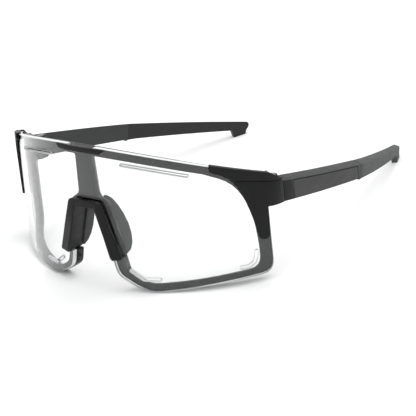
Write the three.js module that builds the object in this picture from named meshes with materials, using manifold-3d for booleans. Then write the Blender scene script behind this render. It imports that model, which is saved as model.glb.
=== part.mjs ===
// Wraparound sport sunglasses: one clear shield lens clipped to the front of a full-rim
// frame, with folding temples and rubber tips.
// Millimetres. +Z is up, the wearer looks along -Y, and the wearer's left is +X.
//
// The front is drawn flat and then wrapped round the face. A flat point is (across, up,
// back): across runs round the lens from its middle, up runs from just above the lens's
// lowest corners to the brow, and back is the depth behind the front of the lens. A temple is
// drawn flat too, as (along, up, inward), and then bent towards the head.
import * as THREE from 'three';
import { mergeVertices } from 'three/addons/utils/BufferGeometryUtils.js';
import Module from 'manifold-3d';

const wasm = await Module();
wasm.setup();

const DEGREE = Math.PI / 180;

// ---- Driving dimensions ----------------------------------------------------------------

const GAP = 0.3; // between pieces that touch

// The wrap of the front
const LENS_RADIUS = 88; // base-6 curve of the lens's front
const LENS_HALF = 79.2; // from the middle of the lens to its side edge
const CORNER_RADIUS = 7; // where the front turns into the side of the head
const LEAN = 6.5 * DEGREE; // the brow leans back over the cheeks
const SIDE_LENGTH = 2.5; // straight end of the front, behind the corner

// Shield lens
const LENS_HEIGHT = 60; // at the middle
const LENS_THICK = 2;
const BROW_DROP = 12.6; // the brow falls this much from the middle to the side
const CHEEK = { across: 26, up: -0.6 }; // lowest corner of each side
const SILL = { across: 48, up: 2 }; // where the lower edge starts to turn up
const JAW_UP = 6.3; // lower outer corner
const NOSTRIL = { across: 13, up: 6.1 }; // lower corner beside the nose
const SLOT = { from: 19.2, to: 48.5, below: 5.5, half: 0.6 };
const VENT_HALF = 0.75;

// Full-rim frame behind the lens
const RIM_THICK = 3.5;
const RIM_INSET = { top: 0.8, side: -0.2, low: 0.1 }; // inside the lens's edge
const BROW_BAR = 3.3;
const LOWER_BAR = 2.7;
const SIDE_BAR = 5.3;
const COLUMN_TOP = 4.4; // half widths of the column over the nose
const COLUMN_LOW = 4.7;
const COLUMN_FOOT = 39;
const LEG_FOOT = { across: 14.3, up: 16 }; // where the rim's nose leg meets the cheek
const BROW_CHAMFER = 1.1; // along the top of the rim's back
const FLARE = { deep: 2.3, wide: 1.2 }; // each eye's opening widens towards the back

// Nose arch, clipped over the lens and the rim
const ARCH_TOP = 34.3;
const ARCH_FOOT = 13.2;
const ARCH_HALF = 5.4; // half width at the top
const ARCH_SLOPE = 0.292; // it widens by this for each millimetre down
const ARCH_WALL = 1.2;
const ARCH_FACE = { top: 2.4, foot: 5 }; // width of the band on the lens
const ARCH_PROUD = 1.5;
const NOTCH_CLEAR = 0.45; // round the arch's walls

// Nose pads
const PAD_THICK = 1.8;
const PAD_INNER = -0.4; // the pad's face towards the nose, from the arch's own
const PAD_TOP = 37.6;
const PAD_LOW = 13.4;
const PAD_DEPTH = 6.2;
const PAD_SPLAY = 0.16;
const TONGUE = { thick: 0.4, depth: 2, top: 32, low: 18, clear: 0.25 };

// Brow clip over the column
const CLIP = { top: 13, low: 11.1, from: 57.7, proud: 0.9 };
const KEY_HALF = 7;
const KEY_DEPTH = 1.2; // how far the clip's key goes into the rim

// Corner brackets
const WING_START = 57;
const WING_LOW = 50.7;
const BRACKET_PROUD = 1;
const LEDGE_THICK = 0.5; // lip over the lens's top edge
const LEDGE_BACK = 1;
const LEG_TIP = 20.6; // lower end of the bracket's leg
const GROOVE = { start: 46.2, from: 45.7, to: 43.1, half: 0.25, deep: 0.5 };

// Hinges
const EAR_LOW = 34; // underside of the ear, the bracket's side and the temple
const HINGE_HEIGHT = 10.2; // of the temple where it meets the front
const KNUCKLE_RADIUS = 2.3;
const KNUCKLE_HEIGHT = 2.9; // of each of the frame's two knuckles
const SCREW_RADIUS = 0.8;
const SCREW_CLEAR = 0.1;
const HEAD_RADIUS = 1.5;
const HEAD_HEIGHT = 0.9;
const INSERT_RADIUS = 1.35;
const INSERT_LENGTH = 2;

// Temples
const TEMPLE_THICK = 4.2;
const ARM_LENGTH = 54.5;
const ARM_DROP = 7.4; // fall of the arm's lower edge
const SEAM_HEIGHT = 7.3;
const SEAM_RAKE = 1; // the seam's top lies behind its bottom by twice this
const TOP_SLOPE = 1.6; // the top face falls this much towards the outside
const PANEL_START = 6;
const PANEL_THICK = 1;
const COLLAR = 2.6; // between the panel and the seam
const TENON = { length: 12, inset: 1.5, thick: 1.8 };
const TIP_LENGTH = 61.6;
const TIP_HEIGHT = 4.2; // where the foot starts
const TIP_DROP = 7.9;
const TIP_THICK = 4;
const TIP_TAPER = 1.8; // the outside draws in by this towards the end
const FOOT_LENGTH = 8.1;
const PINHOLE_RADIUS = 0.45;
// How far the temple has turned towards the head at the hinge, at each end of the seam's
// bend, and at the tip.
const TURNS = { hinge: 0, beforeSeam: 8.5 * DEGREE, afterSeam: 17.5 * DEGREE, tip: 26.5 * DEGREE };
const SEAM_BEND = { before: 2, after: 6 };

// ---- Worked out from them --------------------------------------------------------------

const RIM_FRONT = LENS_THICK + GAP;
const RIM_BACK = RIM_FRONT + RIM_THICK;
const RIM_SIDE = LENS_HALF - RIM_INSET.side;
const CORNER_ARC = CORNER_RADIUS * (Math.PI / 2 - LENS_HALF / LENS_RADIUS);
const FRONT_END = LENS_HALF + CORNER_ARC + SIDE_LENGTH;
const EAR_TOP = EAR_LOW + HINGE_HEIGHT;
const BRACKET_FRONT = -GAP - BRACKET_PROUD;
const ARCH_STEP = Math.hypot(1, ARCH_SLOPE); // across, for one millimetre square to the arch

// ---- Solids, cuts and bends ------------------------------------------------------------

function solid(geometry) {
  const bare = geometry.clone();
  bare.deleteAttribute('normal');
  bare.deleteAttribute('uv');
  const merged = mergeVertices(bare, 1e-4);
  return new wasm.Manifold(new wasm.Mesh({
    numProp: 3,
    vertProperties: new Float32Array(merged.attributes.position.array),
    triVerts: new Uint32Array(merged.index.array),
  }));
}

function surface(body) {
  const { vertProperties, triVerts } = body.getMesh();
  const geometry = new THREE.BufferGeometry();
  geometry.setAttribute('position', new THREE.Float32BufferAttribute(vertProperties, 3));
  geometry.setIndex([...triVerts]);
  return geometry;
}

// The same solid on the other side of the nose.
function otherSide(body) {
  const geometry = surface(body).scale(-1, 1, 1);
  geometry.setIndex([...geometry.index.array].toReversed());
  return solid(geometry);
}

const join = (...bodies) => bodies.reduce((whole, body) => whole.add(body));
const cut = (body, ...tools) => tools.reduce((left, tool) => left.subtract(tool), body);

function box(low, high) {
  const size = high.map((value, axis) => value - low[axis]);
  const centre = high.map((value, axis) => (value + low[axis]) / 2);
  return solid(new THREE.BoxGeometry(...size).translate(...centre));
}

function post(x, y, low, high, radius, sides = 20) {
  const geometry = new THREE.CylinderGeometry(radius, radius, high - low, sides);
  return solid(geometry.rotateX(Math.PI / 2).translate(x, y, (low + high) / 2));
}

// A closed outline through corners [across, up, ease]. Ease is how far from the corner its
// rounding starts, and is 0 for a sharp corner.
function outline(corners) {
  const shape = new THREE.Shape();
  const spots = corners.map(([across, up]) => new THREE.Vector2(across, up));
  const towards = (from, to, ease) => {
    const reach = Math.min(ease / from.distanceTo(to), 0.49);
    return from.clone().lerp(to, reach);
  };
  corners.forEach(([across, up, ease = 0], i) => {
    const spot = spots[i];
    const start = towards(spot, spots.at(i - 1), ease);
    const end = towards(spot, spots[(i + 1) % spots.length], ease);
    shape[i === 0 ? 'moveTo' : 'lineTo'](start.x, start.y);
    if (ease > 0) shape.quadraticCurveTo(across, up, end.x, end.y);
  });
  return shape;
}

function plate(shape, front, back) {
  const depth = back - front;
  const geometry = new THREE.ExtrudeGeometry(shape, { depth, bevelEnabled: false, curveSegments: 4 });
  return solid(geometry.translate(0, 0, front));
}

// A round-ended slot of the given half width along a line of flat points.
function slotPlate(line, half, front, back) {
  const spots = line.map(([across, up]) => new THREE.Vector2(across, up));
  const last = spots.length - 1;
  const edge = (sign) => spots.map((spot, i) => {
    const course = spots[Math.min(i + 1, last)].clone().sub(spots[Math.max(i - 1, 0)]).setLength(half * sign);
    return [spot.x - course.y, spot.y + course.x, i === 0 || i === last ? half * 0.9 : 0];
  });
  return plate(outline([...edge(-1), ...edge(1).toReversed()]), front, back);
}

// The skin of a flat solid between two levels of its first coordinate, without the ends
// that the slicing leaves.
const FAR = 500;
const WELD = 1e-3;
function skinBetween(body, low, high) {
  const slice = body.intersect(box([low, -FAR, -FAR], [high, FAR, FAR]));
  const { vertProperties, triVerts } = slice.getMesh();
  const corner = (vertex) => {
    const [first, ...rest] = [0, 1, 2].map((axis) => vertProperties[3 * vertex + axis]);
    const level = [low, high].find((end) => Math.abs(first - end) < WELD);
    return [level ?? first, ...rest];
  };
  const triangles = [];
  for (let t = 0; t < triVerts.length; t += 3) {
    const corners = [triVerts[t], triVerts[t + 1], triVerts[t + 2]].map(corner);
    const isEnd = [low, high].some((level) => corners.every(([first]) => first === level));
    if (!isEnd) triangles.push(corners);
  }
  return triangles;
}

const distance = (a, b) => Math.hypot(a[0] - b[0], a[1] - b[1], a[2] - b[2]);

function weld(seam, point) {
  const near = seam.find((other) => distance(other, point) < WELD);
  if (!near) seam.push(point);
  return near ?? point;
}

// Splits a triangle wherever a point of the seam lies inside one of its edges.
function stitch(corners, seam) {
  for (let i = 0; i < 3; i += 1) {
    const [start, end, far] = [0, 1, 2].map((step) => corners[(i + step) % 3]);
    const inside = seam.find((point) => {
      const before = distance(start, point);
      const after = distance(point, end);
      return before > WELD && after > WELD && before + after - distance(start, end) < 1e-6;
    });
    if (inside) return [[start, inside, far], [inside, end, far]].flatMap((half) => stitch(half, seam));
  }
  return [corners];
}

// Slices a flat solid at each level of its first coordinate, and moves every point of its
// skin with place(). Place turns right hands into left ones, so the faces are turned over.
function bend(body, levels, place) {
  const { min, max } = body.boundingBox();
  const inside = levels.filter((level) => level > min[0] + WELD && level < max[0] - WELD);
  const bounds = [-FAR, ...inside, FAR];
  const seams = new Map(bounds.map((level) => [level, []]));
  const slabs = bounds.slice(1).map((high, i) => [bounds[i], high, skinBetween(body, bounds[i], high)]);
  const welded = slabs.map(([low, high, triangles]) => [low, high, triangles.map((corners) => (
    corners.map((point) => (seams.has(point[0]) ? weld(seams.get(point[0]), point) : point))
  ))]);
  const skin = welded.flatMap(([low, high, triangles]) => {
    const seam = [...seams.get(low), ...seams.get(high)];
    return triangles.flatMap((corners) => stitch(corners, seam));
  });
  const points = skin.flatMap((corners) => corners.toReversed()).flatMap((point) => place(...point));
  const geometry = new THREE.BufferGeometry();
  geometry.setAttribute('position', new THREE.Float32BufferAttribute(points, 3));
  return solid(geometry);
}

// ---- The front's wrap ------------------------------------------------------------------

function roundFace(across, up, back) {
  const side = Math.sign(across);
  const run = Math.abs(across);
  const turn = Math.min(run, LENS_HALF) / LENS_RADIUS;
  const reach = Math.max(0, LENS_RADIUS - CORNER_RADIUS);
  if (run <= LENS_HALF) {
    const radius = LENS_RADIUS - back;
    return [side * radius * Math.sin(turn), LENS_RADIUS - radius * Math.cos(turn), up];
  }
  const corner = Math.min(Math.PI / 2, turn + (run - LENS_HALF) / CORNER_RADIUS);
  const straight = Math.max(0, run - LENS_HALF - CORNER_ARC);
  const radius = CORNER_RADIUS - back;
  const x = reach * Math.sin(turn) + radius * Math.sin(corner);
  const y = LENS_RADIUS - reach * Math.cos(turn) - radius * Math.cos(corner) + straight;
  return [side * x, y, up];
}

const FACE_STEPS = 14;
const CORNER_STEPS = 3;

function faceLevels() {
  const levels = [];
  for (let step = 1; step <= FACE_STEPS; step += 1) levels.push((LENS_HALF * step) / FACE_STEPS);
  for (let step = 1; step <= CORNER_STEPS; step += 1) {
    levels.push(LENS_HALF + (CORNER_ARC * step) / CORNER_STEPS);
  }
  return [...levels.toReversed().map((level) => -level), 0, ...levels];
}

const wrap = (body) => bend(body, faceLevels(), roundFace);

const mirrored = (corners) => [
  ...corners,
  ...corners.toReversed().map(([across, up, ease]) => [-across, up, ease]),
];

// Height of the lens's top edge.
function brow(across) {
  const share = (across / LENS_HALF) ** 2;
  return LENS_HEIGHT - BROW_DROP * share * (1.25 - 0.25 * share);
}

// Points along the brow, lifted by rise, with one at each level where the front is sliced.
function browLine(from, to, rise) {
  const between = faceLevels().filter((level) => level > from + 1 && level < to - 1);
  return [from, ...between, to].map((across) => [across, brow(across) + rise]);
}

// The nose side of the arch at a height, and a point out from it by so much wall.
const arch = (up, out = 0) => ARCH_HALF + (ARCH_TOP - up) * ARCH_SLOPE + out * ARCH_STEP;

// The lens's or rim's edge from the side down and round to the top of the nose notch. The
// wrap draws a deep edge in towards the nose, so the notch is drawn that much wider.
function lowerEdge(side, inset, back) {
  const notch = (up) => arch(up, ARCH_WALL + NOTCH_CLEAR) / (1 - back / LENS_RADIUS);
  const notchTop = ARCH_TOP + ARCH_WALL + GAP;
  const shelf = ARCH_FOOT - GAP - inset / 2;
  return [
    [LENS_HALF - side, JAW_UP + inset, 5],
    [SILL.across, SILL.up + inset, 6],
    [CHEEK.across, CHEEK.up + inset, 6],
    [NOSTRIL.across + inset / 2, NOSTRIL.up + inset, 2.5],
    [arch(ARCH_FOOT, -GAP) + inset / 2, shelf, 0.5],
    [notch(shelf), shelf],
    [notch(notchTop), notchTop, 0.8],
  ];
}

// ---- Pieces of the front ---------------------------------------------------------------

// Inner edge of one side of the rim, from the column round the eye and back up the nose,
// with its edge beside the nose moved away by so much.
function eyeOpening(fromNose) {
  const side = RIM_SIDE - SIDE_BAR;
  const shoulder = brow(LENS_HALF);
  const underBrow = -RIM_INSET.top - BROW_BAR;
  const bar = RIM_INSET.low + LOWER_BAR;
  return [
    [COLUMN_TOP, brow(COLUMN_TOP) + underBrow, 1.2],
    ...browLine(COLUMN_TOP + 6, side - 20, underBrow),
    [side - 8, shoulder - 2.6, 8],
    [side - 1.4, EAR_LOW - 2, 7],
    [side + 0.2, (JAW_UP + EAR_LOW) / 2 - 3, 6],
    [side, JAW_UP + bar - 0.9, 4.5],
    [SILL.across, SILL.up + bar, 6],
    [CHEEK.across, CHEEK.up + bar + 0.3, 6],
    [NOSTRIL.across + 3.6 + fromNose, NOSTRIL.up + 0.9, 2.5],
    [LEG_FOOT.across + fromNose, LEG_FOOT.up, 3],
    [arch(COLUMN_FOOT - 2.8) + 4.6 + fromNose, COLUMN_FOOT - 2.8, 1.5],
    [COLUMN_LOW + fromNose / 2, COLUMN_FOOT, 1.5],
  ];
}

// A cutter that is straight down to a depth behind the lens, and then widens by so much for
// so much more depth.
function flared(shape, from, deep, wide) {
  const past = 1 + 1 / deep;
  const geometry = new THREE.ExtrudeGeometry(shape, {
    depth: from - RIM_FRONT + GAP,
    bevelThickness: deep * past,
    bevelSize: -wide * past,
    bevelOffset: wide * past,
    bevelSegments: 1,
    curveSegments: 4,
  });
  return solid(geometry.translate(0, 0, RIM_FRONT - GAP));
}

// The key of the brow clip, and with a clearance the notch that it sits in.
function browKey(clear) {
  const half = KEY_HALF + clear;
  const top = brow(0) + (clear > 0 ? 5 : -RIM_INSET.top);
  return box([-half, CLIP.from - clear, -GAP * 2], [half, top, RIM_FRONT + KEY_DEPTH + clear]);
}

function browClip() {
  const bar = outline(mirrored([
    [CLIP.top, brow(CLIP.top) + 0.2, 0.5],
    [CLIP.low, CLIP.from, 0.5],
  ]));
  return wrap(join(plate(bar, -GAP - CLIP.proud, -GAP), browKey(0)));
}

function lensVents() {
  const through = [-1, LENS_THICK + 1];
  const side = RIM_SIDE - SIDE_BAR;
  const sill = CHEEK.up + RIM_INSET.low + LOWER_BAR;
  const jaw = JAW_UP + RIM_INSET.low + LOWER_BAR;
  const besideNose = [[CHEEK.across - 7.2, sill + 6.7], [CHEEK.across - 1.1, sill + 2.9], [CHEEK.across + 6.6, sill + 3.1]];
  const cornerTurn = [[side - 2.7, jaw + 1.7], [side - 1.7, jaw + 3.9]];
  const byTheJaw = [[side - 8.6, jaw - 0.1], [side - 4.9, jaw + 0.3], ...cornerTurn, [side - 1.2, jaw + 7.1]];
  const lines = [
    [browLine(SLOT.from, SLOT.to, -SLOT.below), SLOT.half],
    [besideNose, VENT_HALF],
    [byTheJaw, VENT_HALF],
  ];
  return lines.flatMap(([line, half]) => {
    const other = line.map(([across, up]) => [-across, up]);
    return [slotPlate(line, half, ...through), slotPlate(other, half, ...through)];
  });
}

function shieldLens() {
  const edge = outline(mirrored([...browLine(6, LENS_HALF, 0), ...lowerEdge(0, 0, LENS_THICK)]));
  return wrap(cut(plate(edge, 0, LENS_THICK), browKey(GAP), ...lensVents()));
}

// One side of the bracket's front: a wing along the brow and a leg down the side.
function bracketFace() {
  const side = RIM_SIDE - SIDE_BAR;
  return outline([
    ...browLine(WING_START, FRONT_END - 6, GAP + LEDGE_THICK),
    [FRONT_END - 1.2, EAR_TOP + 0.3],
    [FRONT_END, EAR_TOP + 0.3],
    [FRONT_END, EAR_LOW],
    [LENS_HALF - 0.4, EAR_LOW],
    [LENS_HALF - 0.7, LEG_TIP, 2.4],
    [side + 0.2, LEG_TIP, 2.4],
    [side - 1.8, EAR_LOW - 3, 6],
    [side - 5.6, EAR_TOP - 2, 5],
    [side - 10.5, WING_LOW - 2.4, 3],
    [WING_START, WING_LOW],
  ]);
}

// The leg, the wing and the front's side, as deep as the temple beside it.
function cornerBracket() {
  const start = LENS_HALF + GAP;
  const ledge = outline([
    ...browLine(WING_START, start, GAP + LEDGE_THICK),
    ...browLine(WING_START, start, GAP).reverse(),
  ]);
  const sideOnly = box([start, 0, -9], [FRONT_END + 1, brow(0), LENS_THICK]);
  const face = bracketFace();
  const groove = slotPlate(
    [
      [LENS_HALF - 12.3, GROOVE.start], [LENS_HALF - 8, GROOVE.from],
      [LENS_HALF, (GROOVE.from + GROOVE.to) / 2 + 0.2], [FRONT_END + 2, GROOVE.to],
    ],
    GROOVE.half, BRACKET_FRONT - 1, BRACKET_FRONT + GROOVE.deep,
  );
  const whole = join(
    plate(face, BRACKET_FRONT, -GAP),
    plate(ledge, BRACKET_FRONT, LEDGE_BACK),
    plate(face, BRACKET_FRONT, LENS_THICK).intersect(sideOnly),
  );
  return wrap(cut(whole, groove));
}

// Where the hinge's axis stands, in the front's own frame.
const FRONT_SIDE = roundFace(FRONT_END, 0, BRACKET_FRONT);
const HINGE_X = FRONT_SIDE[0] - TEMPLE_THICK - GAP - KNUCKLE_RADIUS;
const HINGE_Y = FRONT_SIDE[1] + GAP + 1;
const KNUCKLE_LOW = EAR_LOW + 0.5;
const KNUCKLE_TOP = EAR_TOP - 0.2;

// A knuckle round the hinge's axis with a block out to one side of it, drawn round (0, 0).
// Near is how wide the block is on its first side of the axis.
function knuckle(reach, near, low, high) {
  const shape = new THREE.Shape();
  shape.absarc(0, 0, KNUCKLE_RADIUS, 0, Math.PI + Math.acos(near / KNUCKLE_RADIUS));
  shape.lineTo(-near, -reach);
  shape.lineTo(KNUCKLE_RADIUS, -reach);
  const geometry = new THREE.ExtrudeGeometry(shape, {
    depth: high - low, bevelEnabled: false, curveSegments: 10,
  });
  return geometry.translate(0, 0, low);
}

const BETWEEN = { low: KNUCKLE_LOW + KNUCKLE_HEIGHT, high: KNUCKLE_TOP - KNUCKLE_HEIGHT };

// The lower and upper knuckle that the frame carries, joined to it and bored for the screw,
// its head and its threaded insert.
function withKnuckles(front) {
  const hinge = (radius, low, high) => post(HINGE_X, HINGE_Y, low, high, radius);
  const knuckles = [[KNUCKLE_LOW, BETWEEN.low], [BETWEEN.high, KNUCKLE_TOP]].map(([low, high]) => (
    solid(knuckle(HINGE_Y - FRONT_SIDE[1] + 2.5, KNUCKLE_RADIUS, low, high).translate(HINGE_X, HINGE_Y, 0))
  ));
  const tools = [
    hinge(KNUCKLE_RADIUS + GAP, BETWEEN.low, BETWEEN.high),
    hinge(SCREW_RADIUS + SCREW_CLEAR, EAR_LOW - 1, EAR_TOP + 1),
    hinge(HEAD_RADIUS + SCREW_CLEAR, KNUCKLE_TOP - HEAD_HEIGHT - SCREW_CLEAR, EAR_TOP + 1),
    hinge(INSERT_RADIUS + SCREW_CLEAR, EAR_LOW - 1, KNUCKLE_LOW + INSERT_LENGTH + GAP),
  ];
  const bodies = [...knuckles, ...knuckles.map(otherSide)];
  return cut(join(front, ...bodies), ...tools, ...tools.map(otherSide));
}

function innerFrame() {
  const ear = [
    [FRONT_END, EAR_TOP],
    [FRONT_END, EAR_LOW],
    [RIM_SIDE, EAR_LOW, 1.5],
  ];
  const edge = outline(mirrored([
    ...browLine(6, RIM_SIDE, -RIM_INSET.top),
    [LENS_HALF + 1.5, EAR_TOP],
    ...ear,
    ...lowerEdge(RIM_INSET.side, RIM_INSET.low, RIM_BACK),
  ]));
  const eye = join(
    plate(outline(eyeOpening(0)), RIM_FRONT - 1, RIM_BACK + 1),
    flared(outline(eyeOpening(FLARE.wide)), RIM_BACK - FLARE.deep, FLARE.deep, FLARE.wide),
  );
  const overBrow = outline([
    ...browLine(-RIM_SIDE, RIM_SIDE, -RIM_INSET.top),
    [RIM_SIDE + 3, LENS_HEIGHT + 5],
    [-RIM_SIDE - 3, LENS_HEIGHT + 5],
  ]);
  const chamfer = flared(overBrow, RIM_BACK - BROW_CHAMFER, BROW_CHAMFER, BROW_CHAMFER);
  const tools = [eye, otherSide(eye), browKey(GAP), chamfer];
  const front = wrap(cut(plate(edge, RIM_FRONT, RIM_BACK), ...tools));
  return withKnuckles(front);
}

function hingeScrew() {
  const headBase = KNUCKLE_TOP - HEAD_HEIGHT;
  const slot = box(
    [HINGE_X - HEAD_RADIUS - 1, HINGE_Y - 0.25, KNUCKLE_TOP - 0.45],
    [HINGE_X + HEAD_RADIUS + 1, HINGE_Y + 0.25, KNUCKLE_TOP + 1],
  );
  return cut(
    join(
      post(HINGE_X, HINGE_Y, KNUCKLE_LOW + 0.2, headBase + 0.1, SCREW_RADIUS),
      post(HINGE_X, HINGE_Y, headBase, KNUCKLE_TOP, HEAD_RADIUS),
    ),
    slot,
  );
}

function hingeInsert() {
  const top = KNUCKLE_LOW + INSERT_LENGTH;
  return cut(
    post(HINGE_X, HINGE_Y, KNUCKLE_LOW, top, INSERT_RADIUS),
    post(HINGE_X, HINGE_Y, KNUCKLE_LOW - 1, top + 1, SCREW_RADIUS + SCREW_CLEAR),
  );
}

// Puts a flat (up, back, out) point of the arch's wall or a pad beside the nose.
const WALL_BACK = RIM_BACK + 0.8;
function besideNose(up, back, out) {
  const splay = Math.max(0, back - WALL_BACK) * PAD_SPLAY;
  return [arch(up, out) + splay, back, up];
}

// A piece of the wall or pad on the wearer's left. Its flat outline is drawn (up, back).
const noseSide = (shape, inner, outer) => bend(plate(shape, inner, outer), [], besideNose);

function tongue(clear) {
  const { thick, depth, top, low } = TONGUE;
  const middle = PAD_INNER + PAD_THICK / 2;
  const shape = outline([
    [low - clear, WALL_BACK - 1], [low - clear, WALL_BACK + depth + clear],
    [top + clear, WALL_BACK + depth + clear], [top + clear, WALL_BACK - 1],
  ]);
  return noseSide(shape, middle - thick / 2 - clear, middle + thick / 2 + clear);
}

function noseArch() {
  const foot = ARCH_FOOT;
  const band = outline(mirrored([
    [arch(ARCH_TOP, ARCH_FACE.top), ARCH_TOP + 2.9, 1.8],
    [arch(foot + 0.4, ARCH_FACE.foot), foot + 0.4, 0.7],
    [arch(foot - 0.6), foot - 0.6, 0.7],
    [arch(ARCH_TOP), ARCH_TOP],
  ]));
  const roofTop = ARCH_TOP + ARCH_WALL;
  const wall = outline([[foot + 0.3, -1.2], [foot + 0.3, WALL_BACK], [roofTop, WALL_BACK], [roofTop, -1.2]]);
  const side = join(noseSide(wall, 0, ARCH_WALL), tongue(0));
  const roofHalf = arch(ARCH_TOP, 0.3);
  const roof = box([-roofHalf, -1.2, ARCH_TOP], [roofHalf, WALL_BACK, roofTop]);
  const face = wrap(plate(band, -GAP - ARCH_PROUD, -GAP));
  return join(face, roof, side, otherSide(side));
}

// A soft D-shaped pad with its straight edge along the wall's back.
function nosePad() {
  const front = WALL_BACK + GAP;
  const tall = PAD_TOP - PAD_LOW;
  const shape = new THREE.Shape();
  shape.moveTo(PAD_LOW + 1.2, front);
  shape.quadraticCurveTo(PAD_LOW, front, PAD_LOW, front + 1.2);
  shape.bezierCurveTo(
    PAD_LOW + tall * 0.02, front + PAD_DEPTH * 0.75,
    PAD_LOW + tall * 0.22, front + PAD_DEPTH * 1.08,
    PAD_LOW + tall * 0.47, front + PAD_DEPTH,
  );
  shape.bezierCurveTo(
    PAD_LOW + tall * 0.7, front + PAD_DEPTH * 0.9,
    PAD_LOW + tall * 0.96, front + PAD_DEPTH * 0.5,
    PAD_TOP, front + 0.8,
  );
  shape.quadraticCurveTo(PAD_TOP, front, PAD_TOP - 0.8, front);
  return cut(noseSide(shape, PAD_INNER, PAD_INNER + PAD_THICK), tongue(TONGUE.clear));
}

// ---- Temples ---------------------------------------------------------------------------

const TEMPLE_LENGTH = ARM_LENGTH + TIP_LENGTH;

function heading(along) {
  const stops = [
    [0, TURNS.hinge],
    [ARM_LENGTH - SEAM_BEND.before, TURNS.beforeSeam],
    [ARM_LENGTH + SEAM_BEND.after, TURNS.afterSeam],
    [TEMPLE_LENGTH, TURNS.tip],
  ];
  const next = Math.max(1, stops.findIndex(([stop]) => stop >= along));
  const [from, start] = stops[next - 1];
  const [to, end] = stops[next];
  return start + ((end - start) * (along - from)) / (to - from);
}

// Bends a flat (along, up, inward) point of the wearer's left temple towards the head. It is
// measured from the hinge's axis.
function alongTemple(along, up, inward) {
  const steps = Math.max(1, Math.ceil(Math.abs(along) / 2));
  let x = FRONT_SIDE[0] - HINGE_X;
  let y = FRONT_SIDE[1] + GAP - HINGE_Y;
  for (let i = 0; i < steps; i += 1) {
    const turn = heading(((i + 0.5) * along) / steps);
    x -= (Math.sin(turn) * along) / steps;
    y += (Math.cos(turn) * along) / steps;
  }
  const turn = heading(along);
  return [x - inward * Math.cos(turn), y - inward * Math.sin(turn), up];
}

const TEMPLE_STEP = 7;
const templeLevels = () => {
  const count = Math.floor(TEMPLE_LENGTH / TEMPLE_STEP);
  return Array.from({ length: count }, (_, i) => (i + 1) * TEMPLE_STEP);
};
const bendTemple = (body) => bend(body, templeLevels(), alongTemple);

// Heights of the lower and upper edges along the temple.
const SEAM_LOW = EAR_LOW - ARM_DROP;
const FOOT_START = TEMPLE_LENGTH - FOOT_LENGTH;
function lowerLine(along) {
  if (along <= ARM_LENGTH) return EAR_LOW - (ARM_DROP * along) / ARM_LENGTH;
  return SEAM_LOW - (TIP_DROP * (along - ARM_LENGTH)) / (FOOT_START - ARM_LENGTH);
}
function templeHeight(along) {
  if (along <= ARM_LENGTH) return HINGE_HEIGHT + ((SEAM_HEIGHT - HINGE_HEIGHT) * along) / ARM_LENGTH;
  return SEAM_HEIGHT + ((TIP_HEIGHT - SEAM_HEIGHT) * (along - ARM_LENGTH)) / (FOOT_START - ARM_LENGTH);
}
const upperLine = (along) => lowerLine(along) + templeHeight(along);

// The wedge that gives the top face its fall to the outside, from one end to the other.
function topWedge(from, to, thick) {
  const run = to - from;
  const rise = upperLine(to) - upperLine(from);
  const beyond = TOP_SLOPE / thick;
  const shape = outline([
    [1, -TOP_SLOPE - beyond], [1, 5], [-thick - 1, 5], [-thick - 1, beyond],
  ]);
  const geometry = new THREE.ExtrudeGeometry(shape, { depth: run, bevelEnabled: false });
  // Drawn (outward, up) and pushed along: turned so that its length runs along the temple, and
  // sheared to follow the top edge.
  geometry.applyMatrix4(new THREE.Matrix4().set(
    0, 0, 1, from,
    0, 1, rise / run, upperLine(from),
    -1, 0, 0, 0,
    0, 0, 0, 1,
  ));
  return solid(geometry);
}

function panelShape(clear) {
  const from = PANEL_START + clear;
  const to = ARM_LENGTH - COLLAR - clear;
  const top = (along) => upperLine(along) - TOP_SLOPE - clear - 0.2;
  const low = (along) => lowerLine(along) - (clear > 0 ? 0 : 3);
  return outline([[from, low(from)], [to, low(to)], [to, top(to)], [from, top(from)]]);
}

// The arm carries the hinge's middle knuckle, the panel's recess and the tip's tenon.
function templeArm() {
  const bottomEnd = ARM_LENGTH - SEAM_RAKE;
  const topEnd = ARM_LENGTH + SEAM_RAKE;
  const side = outline([
    [0, EAR_LOW], [bottomEnd - COLLAR, lowerLine(bottomEnd - COLLAR)],
    [bottomEnd - 1, lowerLine(bottomEnd) - 0.4], [bottomEnd, lowerLine(bottomEnd) - 0.4],
    [topEnd + 0.2, upperLine(topEnd) + 1], [0, EAR_TOP + 1],
  ]);
  const tenonEnd = ARM_LENGTH + TENON.length;
  const tenon = outline([
    [ARM_LENGTH - 3, lowerLine(ARM_LENGTH - 3) + TENON.inset],
    [tenonEnd, lowerLine(tenonEnd) + TENON.inset, 0.6],
    [tenonEnd, upperLine(tenonEnd) - TENON.inset - TOP_SLOPE / 2, 0.6],
    [ARM_LENGTH - 3, upperLine(ARM_LENGTH - 3) - TENON.inset - TOP_SLOPE / 2],
  ]);
  const tenonFrom = (TEMPLE_THICK - TENON.thick) / 2;
  const shaft = cut(plate(side, 0, TEMPLE_THICK), topWedge(-1, topEnd + 1, TEMPLE_THICK));
  const recess = plate(panelShape(0), -1, PANEL_THICK + GAP);
  const arm = bendTemple(join(cut(shaft, recess), plate(tenon, tenonFrom, tenonFrom + TENON.thick)));
  // Its block reaches out to the shaft.
  const middle = knuckle(KNUCKLE_RADIUS + GAP + 0.4, 0.8, BETWEEN.low + GAP, BETWEEN.high - GAP);
  const bore = post(0, 0, EAR_LOW, EAR_TOP, SCREW_RADIUS + SCREW_CLEAR);
  return cut(join(arm, solid(middle.rotateZ(Math.PI / 2))), bore);
}

const templePanel = () => bendTemple(plate(panelShape(GAP), 0, PANEL_THICK));

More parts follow.
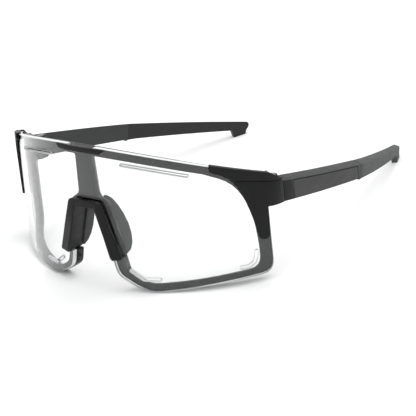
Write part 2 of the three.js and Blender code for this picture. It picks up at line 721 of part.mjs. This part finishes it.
// Rubber sleeve over the tenon, with a foot under its end that stands on the table.
function templeTip(table) {
  const start = ARM_LENGTH + GAP;
  const end = TEMPLE_LENGTH;
  const crest = upperLine(end);
  const underTable = lowerLine(FOOT_START) - 6;
  const side = outline([
    [start - SEAM_RAKE, lowerLine(start - SEAM_RAKE) - 0.2],
    [start + 4, lowerLine(start + 4)],
    [FOOT_START - 0.5, lowerLine(FOOT_START), 0.5],
    [FOOT_START + 1, underTable],
    [end - 2.6, underTable],
    [end - 1.6, crest - 3.6, 1],
    [end, crest - 2.2, 1.2],
    [end, crest - 0.4, 1],
    [end - 2, crest + 1],
    [start + SEAM_RAKE + 0.2, upperLine(start + SEAM_RAKE) + 1],
  ]);
  const outside = new THREE.ExtrudeGeometry(outline([
    [start + 4, 0], [start + 4, -1], [end + 1, -1], [end + 1, TIP_TAPER],
  ]), { depth: EAR_TOP, bevelEnabled: false });
  const socketEnd = ARM_LENGTH + TENON.length + GAP;
  const socketFrom = ARM_LENGTH - 4;
  const socket = outline([
    [socketFrom, lowerLine(socketFrom) + TENON.inset - GAP],
    [socketEnd, lowerLine(socketEnd) + TENON.inset - GAP],
    [socketEnd, upperLine(socketEnd) - TENON.inset - TOP_SLOPE / 2 + GAP],
    [socketFrom, upperLine(socketFrom) - TENON.inset - TOP_SLOPE / 2 + GAP],
  ]);
  const tenonFrom = (TEMPLE_THICK - TENON.thick) / 2;
  const pinhole = post(end - 4.8, crest - 2.4, -1, TIP_TAPER + 0.8, PINHOLE_RADIUS, 10);
  const sleeve = bendTemple(cut(
    plate(side, 0, TIP_THICK),
    topWedge(start - SEAM_RAKE - 1, end + 1, TIP_THICK),
    plate(socket, tenonFrom - GAP, tenonFrom + TENON.thick + GAP),
    solid(outside.rotateX(Math.PI / 2).translate(0, EAR_TOP, 0)),
    pinhole,
  ));
  return cut(sleeve, table);
}

// Everything under the table that the front stands on, seen from the hinge's own frame.
function tableUnder(front) {
  const lowest = new THREE.Vector3();
  const positions = surface(front).attributes.position;
  let floor = Infinity;
  for (let i = 0; i < positions.count; i += 1) {
    lowest.fromBufferAttribute(positions, i).applyAxisAngle(new THREE.Vector3(1, 0, 0), -LEAN);
    floor = Math.min(floor, lowest.z);
  }
  const slab = new THREE.BoxGeometry(400, 400, 60).translate(0, 0, floor - 30);
  return solid(slab.rotateX(LEAN).translate(-HINGE_X, -HINGE_Y, 0));
}

// ---- Assembly --------------------------------------------------------------------------

const finishes = {
  lens: { color: 0xdfe8ea, roughness: 0.05, metalness: 0, transparent: true, opacity: 0.3 },
  rim: { color: 0x1c1e1e, roughness: 0.35, metalness: 0 },
  bracket: { color: 0x262826, roughness: 0.45, metalness: 0 },
  pad: { color: 0x3a3b3c, roughness: 0.7, metalness: 0 },
  arm: { color: 0x363837, roughness: 0.5, metalness: 0 },
  panel: { color: 0x454645, roughness: 0.55, metalness: 0 },
  tip: { color: 0x484a4a, roughness: 0.75, metalness: 0 },
  steel: { color: 0x9a9c9e, roughness: 0.3, metalness: 1 },
  brass: { color: 0xb09050, roughness: 0.4, metalness: 1 },
};

function piece(name, finish, body) {
  const mesh = new THREE.Mesh(surface(body), new THREE.MeshStandardMaterial(finishes[finish]));
  mesh.geometry.computeVertexNormals();
  mesh.name = name;
  return mesh;
}

const lens = shieldLens();
const frame = innerFrame();
const table = tableUnder(join(lens, frame));

const leaned = new THREE.Group();
leaned.rotation.x = -LEAN;
leaned.add(
  piece('inner_frame', 'rim', frame),
  piece('shield_lens', 'lens', lens),
  piece('brow_clip', 'bracket', browClip()),
  piece('nose_bridge_clip', 'bracket', noseArch()),
);

const pad = nosePad();
const bracket = cornerBracket();
const screw = hingeScrew();
const insert = hingeInsert();
const arm = templeArm();
const panel = templePanel();
const tip = templeTip(table);

for (const [side, sign] of [['left', 1], ['right', -1]]) {
  const handed = (body) => (sign > 0 ? body : otherSide(body));
  leaned.add(
    piece(`${side}_corner_bracket`, 'bracket', handed(bracket)),
    piece(`${side}_nose_pad`, 'pad', handed(pad)),
    piece(`${side}_hinge_screw`, 'steel', handed(screw)),
    piece(`${side}_hinge_insert`, 'brass', handed(insert)),
  );
  const temple = new THREE.Group();
  temple.position.set(sign * HINGE_X, HINGE_Y, 0);
  temple.add(
    piece(`${side}_temple_arm`, 'arm', handed(arm)),
    piece(`${side}_temple_panel`, 'panel', handed(panel)),
    piece(`${side}_temple_tip`, 'tip', handed(tip)),
  );
  leaned.add(temple);
}

// The origin is on the table, under the middle of the whole.
const glasses = new THREE.Group();
glasses.add(leaned);
glasses.updateMatrixWorld(true);
const extent = new THREE.Box3().setFromObject(glasses, true);
const middle = extent.getCenter(new THREE.Vector3());
glasses.position.set(-middle.x, -middle.y, -extent.min.z);

export default glasses;
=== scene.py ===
"""Wraparound sport sunglasses, finished for a still: one clear shield lens clipped to a black
full-rim frame, with charcoal temples and rubber tips. Metres, +Z up."""
from math import cos, radians, sin

import bpy
from mathutils import Matrix, Vector


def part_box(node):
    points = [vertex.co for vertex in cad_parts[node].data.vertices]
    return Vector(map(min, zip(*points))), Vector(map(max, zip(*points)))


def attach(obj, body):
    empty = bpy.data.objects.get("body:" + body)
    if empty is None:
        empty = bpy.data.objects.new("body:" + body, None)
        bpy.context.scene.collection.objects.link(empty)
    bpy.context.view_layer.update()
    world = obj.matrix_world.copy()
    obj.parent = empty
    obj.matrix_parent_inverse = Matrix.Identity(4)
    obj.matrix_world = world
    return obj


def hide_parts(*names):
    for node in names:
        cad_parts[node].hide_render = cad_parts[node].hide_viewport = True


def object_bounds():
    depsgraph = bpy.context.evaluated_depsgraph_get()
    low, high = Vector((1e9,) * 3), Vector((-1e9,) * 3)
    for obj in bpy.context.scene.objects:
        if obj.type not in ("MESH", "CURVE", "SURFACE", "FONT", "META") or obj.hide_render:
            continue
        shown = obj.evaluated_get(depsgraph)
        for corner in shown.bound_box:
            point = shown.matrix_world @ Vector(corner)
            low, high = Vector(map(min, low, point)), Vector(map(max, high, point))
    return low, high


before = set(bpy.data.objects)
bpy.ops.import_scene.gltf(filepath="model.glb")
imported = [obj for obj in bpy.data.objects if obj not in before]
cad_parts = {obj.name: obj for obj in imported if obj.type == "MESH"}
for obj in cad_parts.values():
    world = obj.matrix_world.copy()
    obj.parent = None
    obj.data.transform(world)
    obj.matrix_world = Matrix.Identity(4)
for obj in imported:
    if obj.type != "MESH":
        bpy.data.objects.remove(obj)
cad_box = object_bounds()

MM = 0.001

# ---- Camera ----------------------------------------------------------------------------
# A long lens looks down a little from the wearer's left of the front, tilted so that the
# near lens hangs level.

AZIMUTH = radians(44.5)
ELEVATION = radians(23.11)
ROLL = radians(-10.65)
DISTANCE = 1117.8 * MM
FOCAL_LENGTH = 236.8
SENSOR_WIDTH = 36
AIM_ACROSS = 32.22 * MM
AIM_BEHIND = 39.94 * MM  # behind the front of the glasses
AIM_HEIGHT = 22.86 * MM

front_edge = cad_box[0][1]
aim = Vector((AIM_ACROSS, front_edge + AIM_BEHIND, AIM_HEIGHT))
back = Vector((sin(AZIMUTH) * cos(ELEVATION), -cos(AZIMUTH) * cos(ELEVATION), sin(ELEVATION)))
level = Vector((cos(AZIMUTH), sin(AZIMUTH), 0))
upright = back.cross(level)
right = cos(ROLL) * level + sin(ROLL) * upright
up = -sin(ROLL) * level + cos(ROLL) * upright

camera_data = bpy.data.cameras.new("camera")
camera_data.lens = FOCAL_LENGTH
camera_data.sensor_width = SENSOR_WIDTH
camera = bpy.data.objects.new("camera", camera_data)
camera.matrix_world = Matrix.Translation(aim + back * DISTANCE) @ Matrix(
    (right, up, back)).transposed().to_4x4()
bpy.context.scene.collection.objects.link(camera)
bpy.context.scene.camera = camera

# ---- Table and studio light ------------------------------------------------------------
# A white table in a bright white room, under a broad soft light from above and behind. The
# glasses stand on the feet of their temple tips and on the front's lowest edge.

TABLE_SIZE = 8
ROOM_BRIGHTNESS = 0.94
LIGHT_PLACE = (0.25, 0.7, 1.6)
LIGHT_SIZE = 2
LIGHT_POWER = 16

bpy.ops.object.select_all(action="DESELECT")
bpy.ops.mesh.primitive_plane_add(size=TABLE_SIZE, location=(0, 0, 0))
table = bpy.context.object
table.name = "table"
white = bpy.data.materials.new("table_white")
white.use_nodes = True
paint = white.node_tree.nodes["Principled BSDF"]
paint.inputs["Base Color"].default_value = (0.97, 0.972, 0.975, 1)
paint.inputs["Roughness"].default_value = 0.9
paint.inputs["Specular IOR Level"].default_value = 0.1
table.data.materials.append(white)

world = bpy.data.worlds.new("studio")
world.use_nodes = True
world.node_tree.nodes["Background"].inputs["Color"].default_value = (1, 1, 1, 1)
world.node_tree.nodes["Background"].inputs["Strength"].default_value = ROOM_BRIGHTNESS
bpy.context.scene.world = world
bpy.context.scene.view_settings.view_transform = "Standard"

light_data = bpy.data.lights.new("overhead", "AREA")
light_data.shape = "DISK"
light_data.size = LIGHT_SIZE
light_data.energy = LIGHT_POWER
light = bpy.data.objects.new("overhead", light_data)
light.location = LIGHT_PLACE
light.rotation_euler = (-Vector(LIGHT_PLACE)).to_track_quat("-Z", "Y").to_euler()
bpy.context.scene.collection.objects.link(light)

# ---- Inner frame -----------------------------------------------------------------------
# The full rim behind the lens, injection moulded in black nylon. It wraps round the same axis
# as the lens, and carries the hinges' knuckles at its ears.

MERGE = 0.02 * MM  # vertices nearer than this are one


def moulding_effect():
    """Node group: broad mottling of a moulded surface, its fine grain, and faint handling marks."""
    group = bpy.data.node_groups.new("moulding", "ShaderNodeTree")
    for name, kind in (("Vector", "NodeSocketVector"), ("Grain Size", "NodeSocketFloat")):
        group.interface.new_socket(name, in_out="INPUT", socket_type=kind)
    for name in ("Mottle", "Grain", "Marks"):
        group.interface.new_socket(name, in_out="OUTPUT", socket_type="NodeSocketFloat")
    nodes, links = group.nodes, group.links
    inside = nodes.new("NodeGroupInput")
    outside = nodes.new("NodeGroupOutput")
    mottle = nodes.new("ShaderNodeTexNoise")
    mottle.inputs["Scale"].default_value = 90
    mottle.inputs["Detail"].default_value = 3
    grain = nodes.new("ShaderNodeTexNoise")
    grain.inputs["Detail"].default_value = 4
    stretched = nodes.new("ShaderNodeMapping")
    stretched.inputs["Scale"].default_value = (1, 0.08, 1)
    marks = nodes.new("ShaderNodeTexNoise")
    marks.inputs["Scale"].default_value = 700
    marks.inputs["Detail"].default_value = 2
    links.new(inside.outputs["Vector"], mottle.inputs["Vector"])
    links.new(inside.outputs["Vector"], grain.inputs["Vector"])
    links.new(inside.outputs["Vector"], stretched.inputs["Vector"])
    links.new(stretched.outputs["Vector"], marks.inputs["Vector"])
    links.new(inside.outputs["Grain Size"], grain.inputs["Scale"])
    links.new(mottle.outputs["Fac"], outside.inputs["Mottle"])
    links.new(grain.outputs["Fac"], outside.inputs["Grain"])
    links.new(marks.outputs["Fac"], outside.inputs["Marks"])
    return group


moulding = moulding_effect()
GRAIN_HEIGHT = 0.05 * MM


def moulded(name, dark, light, rough, shine, grain_size, grain_depth):
    """A moulded plastic or rubber: two shades, a range of roughness, and a grain."""
    material = bpy.data.materials.new(name)
    material.use_nodes = True
    nodes, links = material.node_tree.nodes, material.node_tree.links
    surface = nodes["Principled BSDF"]
    surface.inputs["Specular IOR Level"].default_value = shine
    place = nodes.new("ShaderNodeTexCoord")
    effect = nodes.new("ShaderNodeGroup")
    effect.node_tree = moulding
    effect.inputs["Grain Size"].default_value = grain_size
    shade = nodes.new("ShaderNodeMix")
    shade.data_type = "RGBA"
    shade.inputs["A"].default_value = (*dark, 1)
    shade.inputs["B"].default_value = (*light, 1)
    gloss = nodes.new("ShaderNodeMapRange")
    gloss.inputs["From Min"].default_value = 0.3
    gloss.inputs["From Max"].default_value = 0.7
    gloss.inputs["To Min"].default_value = rough[0]
    gloss.inputs["To Max"].default_value = rough[1]
    bump = nodes.new("ShaderNodeBump")
    bump.inputs["Strength"].default_value = grain_depth
    bump.inputs["Distance"].default_value = GRAIN_HEIGHT
    links.new(place.outputs["Object"], effect.inputs["Vector"])
    links.new(effect.outputs["Mottle"], shade.inputs["Factor"])
    links.new(shade.outputs["Result"], surface.inputs["Base Color"])
    links.new(effect.outputs["Marks"], gloss.inputs["Value"])
    links.new(gloss.outputs["Result"], surface.inputs["Roughness"])
    links.new(effect.outputs["Grain"], bump.inputs["Height"])
    links.new(bump.outputs["Normal"], surface.inputs["Normal"])
    return material


black_nylon = moulded("black_nylon", (0.005, 0.006, 0.006), (0.009, 0.01, 0.01),
                      (0.3, 0.42), 0.25, 2600, 0.25)

LENS_RADIUS = 88 * MM
LENS_THICK = 2 * MM
RIM_GAP = 0.3 * MM
RIM_THICK = 3.5 * MM
BROW_CHAMFER = 1.1 * MM
LEAN = radians(6.5)
AXIS_BEHIND = 88.099 * MM  # behind the front of the glasses, at the table
SLICE = radians(0.8)
HALF_SWEEP = radians(52)
SLICE_TOLERANCE = 1e-7
SNAP = 0.1 * MM  # a vertex this near to a curve is laid on it
SHARP = radians(35)  # an edge that turns by more than this stays an edge

rim_front = LENS_THICK + RIM_GAP
rim_back = rim_front + RIM_THICK

# The axis that the lens wraps round, and where it meets the table.
lean_axis = Vector((0, sin(LEAN), cos(LEAN)))
axis_foot = Vector((0, front_edge + AXIS_BEHIND, 0))


def finely_wrapped(node, name, depths):
    """A copy of a wrapped part, sliced finely along its wrap, with its faces at these depths
    behind the lens's front laid on the true curve."""
    bpy.ops.object.select_all(action="DESELECT")
    piece = bpy.data.objects.new(name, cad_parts[node].data.copy())
    bpy.context.scene.collection.objects.link(piece)
    piece.data.materials.clear()
    bpy.context.view_layer.objects.active = piece
    piece.select_set(True)
    bpy.ops.object.mode_set(mode="EDIT")
    bpy.ops.mesh.select_all(action="SELECT")
    bpy.ops.mesh.remove_doubles(threshold=MERGE)
    step = -HALF_SWEEP
    while step < HALF_SWEEP:
        across = Vector((cos(step), sin(step) * cos(LEAN), -sin(step) * sin(LEAN)))
        bpy.ops.mesh.select_all(action="SELECT")
        bpy.ops.mesh.bisect(plane_co=axis_foot, plane_no=across,
                            threshold=SLICE_TOLERANCE)
        step += SLICE
    bpy.ops.object.mode_set(mode="OBJECT")
    mesh = piece.data
    layers = {}
    for vertex in mesh.vertices:
        along = (vertex.co - axis_foot).dot(lean_axis)
        foot = axis_foot + lean_axis * along
        spoke = vertex.co - foot
        for depth in depths:
            if abs(spoke.length - (LENS_RADIUS - depth)) < SNAP:
                vertex.co = foot + spoke.normalized() * (LENS_RADIUS - depth)
                layers[vertex.index] = (depth, spoke.normalized())
    bpy.ops.object.shade_smooth_by_angle(angle=SHARP)
    # A face that lies on one of the curves takes the curve's own normals.
    normals = [corner.vector.copy() for corner in mesh.corner_normals]
    for face in mesh.polygons:
        met = [layers.get(index) for index in face.vertices]
        if None in met or len({depth for depth, spoke in met}) > 1:
            continue
        side = 1 if face.normal.dot(met[0][1]) > 0 else -1
        for loop, (depth, spoke) in zip(face.loop_indices, met):
            normals[loop] = spoke * side
    mesh.normals_split_custom_set(normals)
    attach(piece, "front")
    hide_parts(node)
    return piece


rim = finely_wrapped("inner_frame", "inner_frame_moulded",
                     (rim_front, rim_back - BROW_CHAMFER, rim_back))
rim.data.materials.append(black_nylon)

# ---- Shield lens -----------------------------------------------------------------------
# One clear polycarbonate shield with a polished face. Its outer edge, slots and vents are left
# frosted from the cutter.

COATED_IOR = 1.43  # the coating mirrors less than bare polycarbonate
CUT_FACING = 0.7  # a face that looks out or in by less than this is a cut

lens = finely_wrapped("shield_lens", "shield_lens_polished", (0, LENS_THICK))
clear = bpy.data.materials.new("clear_polycarbonate")
clear.use_nodes = True
nodes, links = clear.node_tree.nodes, clear.node_tree.links
glass = nodes["Principled BSDF"]
glass.inputs["Base Color"].default_value = (0.985, 0.992, 0.992, 1)
glass.inputs["Transmission Weight"].default_value = 1
glass.inputs["IOR"].default_value = COATED_IOR
place = nodes.new("ShaderNodeTexCoord")
smears = nodes.new("ShaderNodeTexNoise")
smears.inputs["Scale"].default_value = 60
haze = nodes.new("ShaderNodeMapRange")
haze.inputs["To Min"].default_value = 0.0
haze.inputs["To Max"].default_value = 0.035
links.new(place.outputs["Object"], smears.inputs["Vector"])
links.new(smears.outputs["Fac"], haze.inputs["Value"])
links.new(haze.outputs["Result"], glass.inputs["Roughness"])
light_path = nodes.new("ShaderNodeLightPath")
passing = nodes.new("ShaderNodeBsdfTransparent")
passing.inputs["Color"].default_value = (0.9, 0.91, 0.91, 1)
either = nodes.new("ShaderNodeMixShader")
links.new(light_path.outputs["Is Shadow Ray"], either.inputs["Fac"])
links.new(glass.outputs["BSDF"], either.inputs[1])
links.new(passing.outputs["BSDF"], either.inputs[2])
links.new(either.outputs["Shader"], nodes["Material Output"].inputs["Surface"])

frosted = moulded("frosted_edge", (0.72, 0.74, 0.74), (0.8, 0.81, 0.81),
                  (0.45, 0.6), 0.5, 3000, 0.3)
lens.data.materials.append(clear)
lens.data.materials.append(frosted)


def frost_cuts(piece):
    """The lens's edge and the walls of its slots and vents keep the cutter's frosted finish."""
    for face in piece.data.polygons:
        along = (face.center - axis_foot).dot(lean_axis)
        spoke = (face.center - axis_foot - lean_axis * along).normalized()
        if abs(face.normal.dot(spoke)) < CUT_FACING:
            face.material_index = 1


frost_cuts(lens)

# ---- Nose arch -------------------------------------------------------------------------
# The arch over the nose, one satin black moulding that clips over the lens and the frame
# and carries the pads' tongues.

ARCH_EASE = 0.35 * MM
NEARLY_FLAT = radians(0.6)  # faces that meet at less than this are joined


def eased(node, body, width, segments=2):
    """A finer copy of a part with its edges rounded by width, which stands for the part."""
    bpy.ops.object.select_all(action="DESELECT")
    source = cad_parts[node]
    piece = bpy.data.objects.new(f"{node}_moulded", source.data.copy())
    bpy.context.scene.collection.objects.link(piece)
    piece.data.materials.clear()
    bpy.context.view_layer.objects.active = piece
    piece.select_set(True)
    bpy.ops.object.mode_set(mode="EDIT")
    bpy.ops.mesh.select_all(action="SELECT")
    bpy.ops.mesh.remove_doubles(threshold=MERGE)
    bpy.ops.mesh.dissolve_limited(angle_limit=NEARLY_FLAT)
    bpy.ops.object.mode_set(mode="OBJECT")
    bevel = piece.modifiers.new("eased_edges", "BEVEL")
    bevel.width = width
    bevel.segments = segments
    bevel.limit_method = "ANGLE"
    bevel.angle_limit = SHARP
    bevel.use_clamp_overlap = True
    bpy.ops.object.modifier_apply(modifier=bevel.name)
    bpy.ops.object.shade_smooth_by_angle(angle=SHARP)
    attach(piece, body)
    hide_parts(node)
    return piece


satin_black = moulded("satin_black", (0.0035, 0.004, 0.004), (0.006, 0.0065, 0.006),
                      (0.36, 0.5), 0.2, 3200, 0.35)
nose_arch = eased("nose_bridge_clip", "front", ARCH_EASE)
nose_arch.data.materials.append(satin_black)

# ---- Brow clip and corner brackets -----------------------------------------------------
# Satin black mouldings over the lens's edge: the small bar at the middle of the brow, and a
# bracket with a wing and a leg at each corner.

BRACKET_EASE = 0.15 * MM

brow_clip = eased("brow_clip", "front", BRACKET_EASE)
brow_clip.data.materials.append(satin_black)
for side in ("left", "right"):
    bracket = eased(f"{side}_corner_bracket", "front", BRACKET_EASE)
    bracket.data.materials.append(satin_black)

# ---- Nose pads -------------------------------------------------------------------------
# Soft D-shaped pads, moulded in dark rubber. Each is pushed onto a tongue of the arch, which
# goes into a pocket in the pad.

PAD_EASE = 0.5 * MM

pad_rubber = moulded("pad_rubber", (0.03, 0.033, 0.03), (0.045, 0.048, 0.044),
                     (0.6, 0.75), 0.35, 3400, 0.5)
for side in ("left", "right"):
    pad = eased(f"{side}_nose_pad", "front", PAD_EASE, segments=4)
    pad.data.materials.append(pad_rubber)

# ---- Hinges ----------------------------------------------------------------------------
# Each temple turns on a steel screw, which goes down through its knuckle into a brass insert
# in the bore of the frame's lower knuckle. Both are turned parts.


def turned(name, colour, rough):
    """A turned metal with fine rings left by the tool."""
    material = bpy.data.materials.new(name)
    material.use_nodes = True
    nodes, links = material.node_tree.nodes, material.node_tree.links
    surface = nodes["Principled BSDF"]
    surface.inputs["Metallic"].default_value = 1
    surface.inputs["Base Color"].default_value = (*colour, 1)
    place = nodes.new("ShaderNodeTexCoord")
    rings = nodes.new("ShaderNodeTexWave")
    rings.bands_direction = "Z"
    rings.inputs["Scale"].default_value = 1500
    rings.inputs["Distortion"].default_value = 0.4
    gloss = nodes.new("ShaderNodeMapRange")
    gloss.inputs["To Min"].default_value = rough[0]
    gloss.inputs["To Max"].default_value = rough[1]
    links.new(place.outputs["Object"], rings.inputs["Vector"])
    links.new(rings.outputs["Fac"], gloss.inputs["Value"])
    links.new(gloss.outputs["Result"], surface.inputs["Roughness"])
    return material


steel = turned("screw_steel", (0.42, 0.43, 0.44), (0.22, 0.36))
brass = turned("insert_brass", (0.62, 0.45, 0.2), (0.28, 0.42))
for side in ("left", "right"):
    for node, metal in (("hinge_screw", steel), ("hinge_insert", brass)):
        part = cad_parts[f"{side}_{node}"]
        part.data.materials.clear()
        part.data.materials.append(metal)

# ---- Temples ---------------------------------------------------------------------------
# Each arm is a charcoal moulding with a panel let into its outside and a rubber sleeve over its
# end. Its sides ahead of the panel are satin black.

ARM_EASE = 0.3 * MM
PANEL_EASE = 0.12 * MM
TIP_EASE = 0.45 * MM
TOP_FACING = 0.6  # a face that looks up by at least this is the arm's top
INNER_FACING = 0.5  # a face that looks at the head, or down, by more than this is smooth

charcoal = moulded("arm_charcoal", (0.02, 0.022, 0.021), (0.03, 0.032, 0.031),
                   (0.42, 0.55), 0.35, 3000, 0.4)
panel_grey = moulded("panel_grey", (0.034, 0.035, 0.034), (0.044, 0.045, 0.044),
                     (0.5, 0.62), 0.3, 3600, 0.4)
tip_rubber = moulded("tip_rubber", (0.06, 0.062, 0.062), (0.08, 0.083, 0.082),
                     (0.62, 0.78), 0.3, 3400, 0.6)
# Painted shade: a darker, smoother rubber for the tips' inner sides and undersides.
tip_painted_shade = moulded("tip_painted_shade", (0.018, 0.019, 0.018), (0.024, 0.025, 0.024),
                     (0.5, 0.62), 0.25, 3400, 0.5)


def blacken_front(arm, end):
    """The arm's sides ahead of its panel are finished in the brackets' satin black."""
    bpy.ops.object.select_all(action="DESELECT")
    arm.select_set(True)
    bpy.context.view_layer.objects.active = arm
    bpy.ops.object.mode_set(mode="EDIT")
    bpy.ops.mesh.select_all(action="SELECT")
    bpy.ops.mesh.bisect(plane_co=(0, end, 0), plane_no=(0, 1, 0))
    bpy.ops.object.mode_set(mode="OBJECT")
    arm.data.materials.append(satin_black)
    for face in arm.data.polygons:
        if face.center.y < end and face.normal.z < TOP_FACING:
            face.material_index = 1


def paint_tip_shade(tip, outward):
    """The rubber's inner side, which lies on the head, and its underside are smoother than the
    outside and painted darker as shade.
    """
    tip.data.materials.append(tip_painted_shade)
    for face in tip.data.polygons:
        if face.normal.x * outward < -INNER_FACING or face.normal.z < -INNER_FACING:
            face.material_index = 1


for side in ("left", "right"):
    body = f"{side}_temple"
    for node, width, material, slot in (
            ("temple_arm", ARM_EASE, charcoal, "arm"),
            ("temple_panel", PANEL_EASE, panel_grey, "panel"),
            ("temple_tip", TIP_EASE, tip_rubber, "tip")):
        piece = eased(f"{side}_{node}", body, width, segments=3)
        piece.data.materials.append(material)
        if node == "temple_arm":
            blacken_front(piece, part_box(f"{side}_temple_panel")[0][1])
        if node == "temple_tip":
            # The tip's inner side and underside are painted darker as shade.
            paint_tip_shade(piece, 1 if side == "left" else -1)
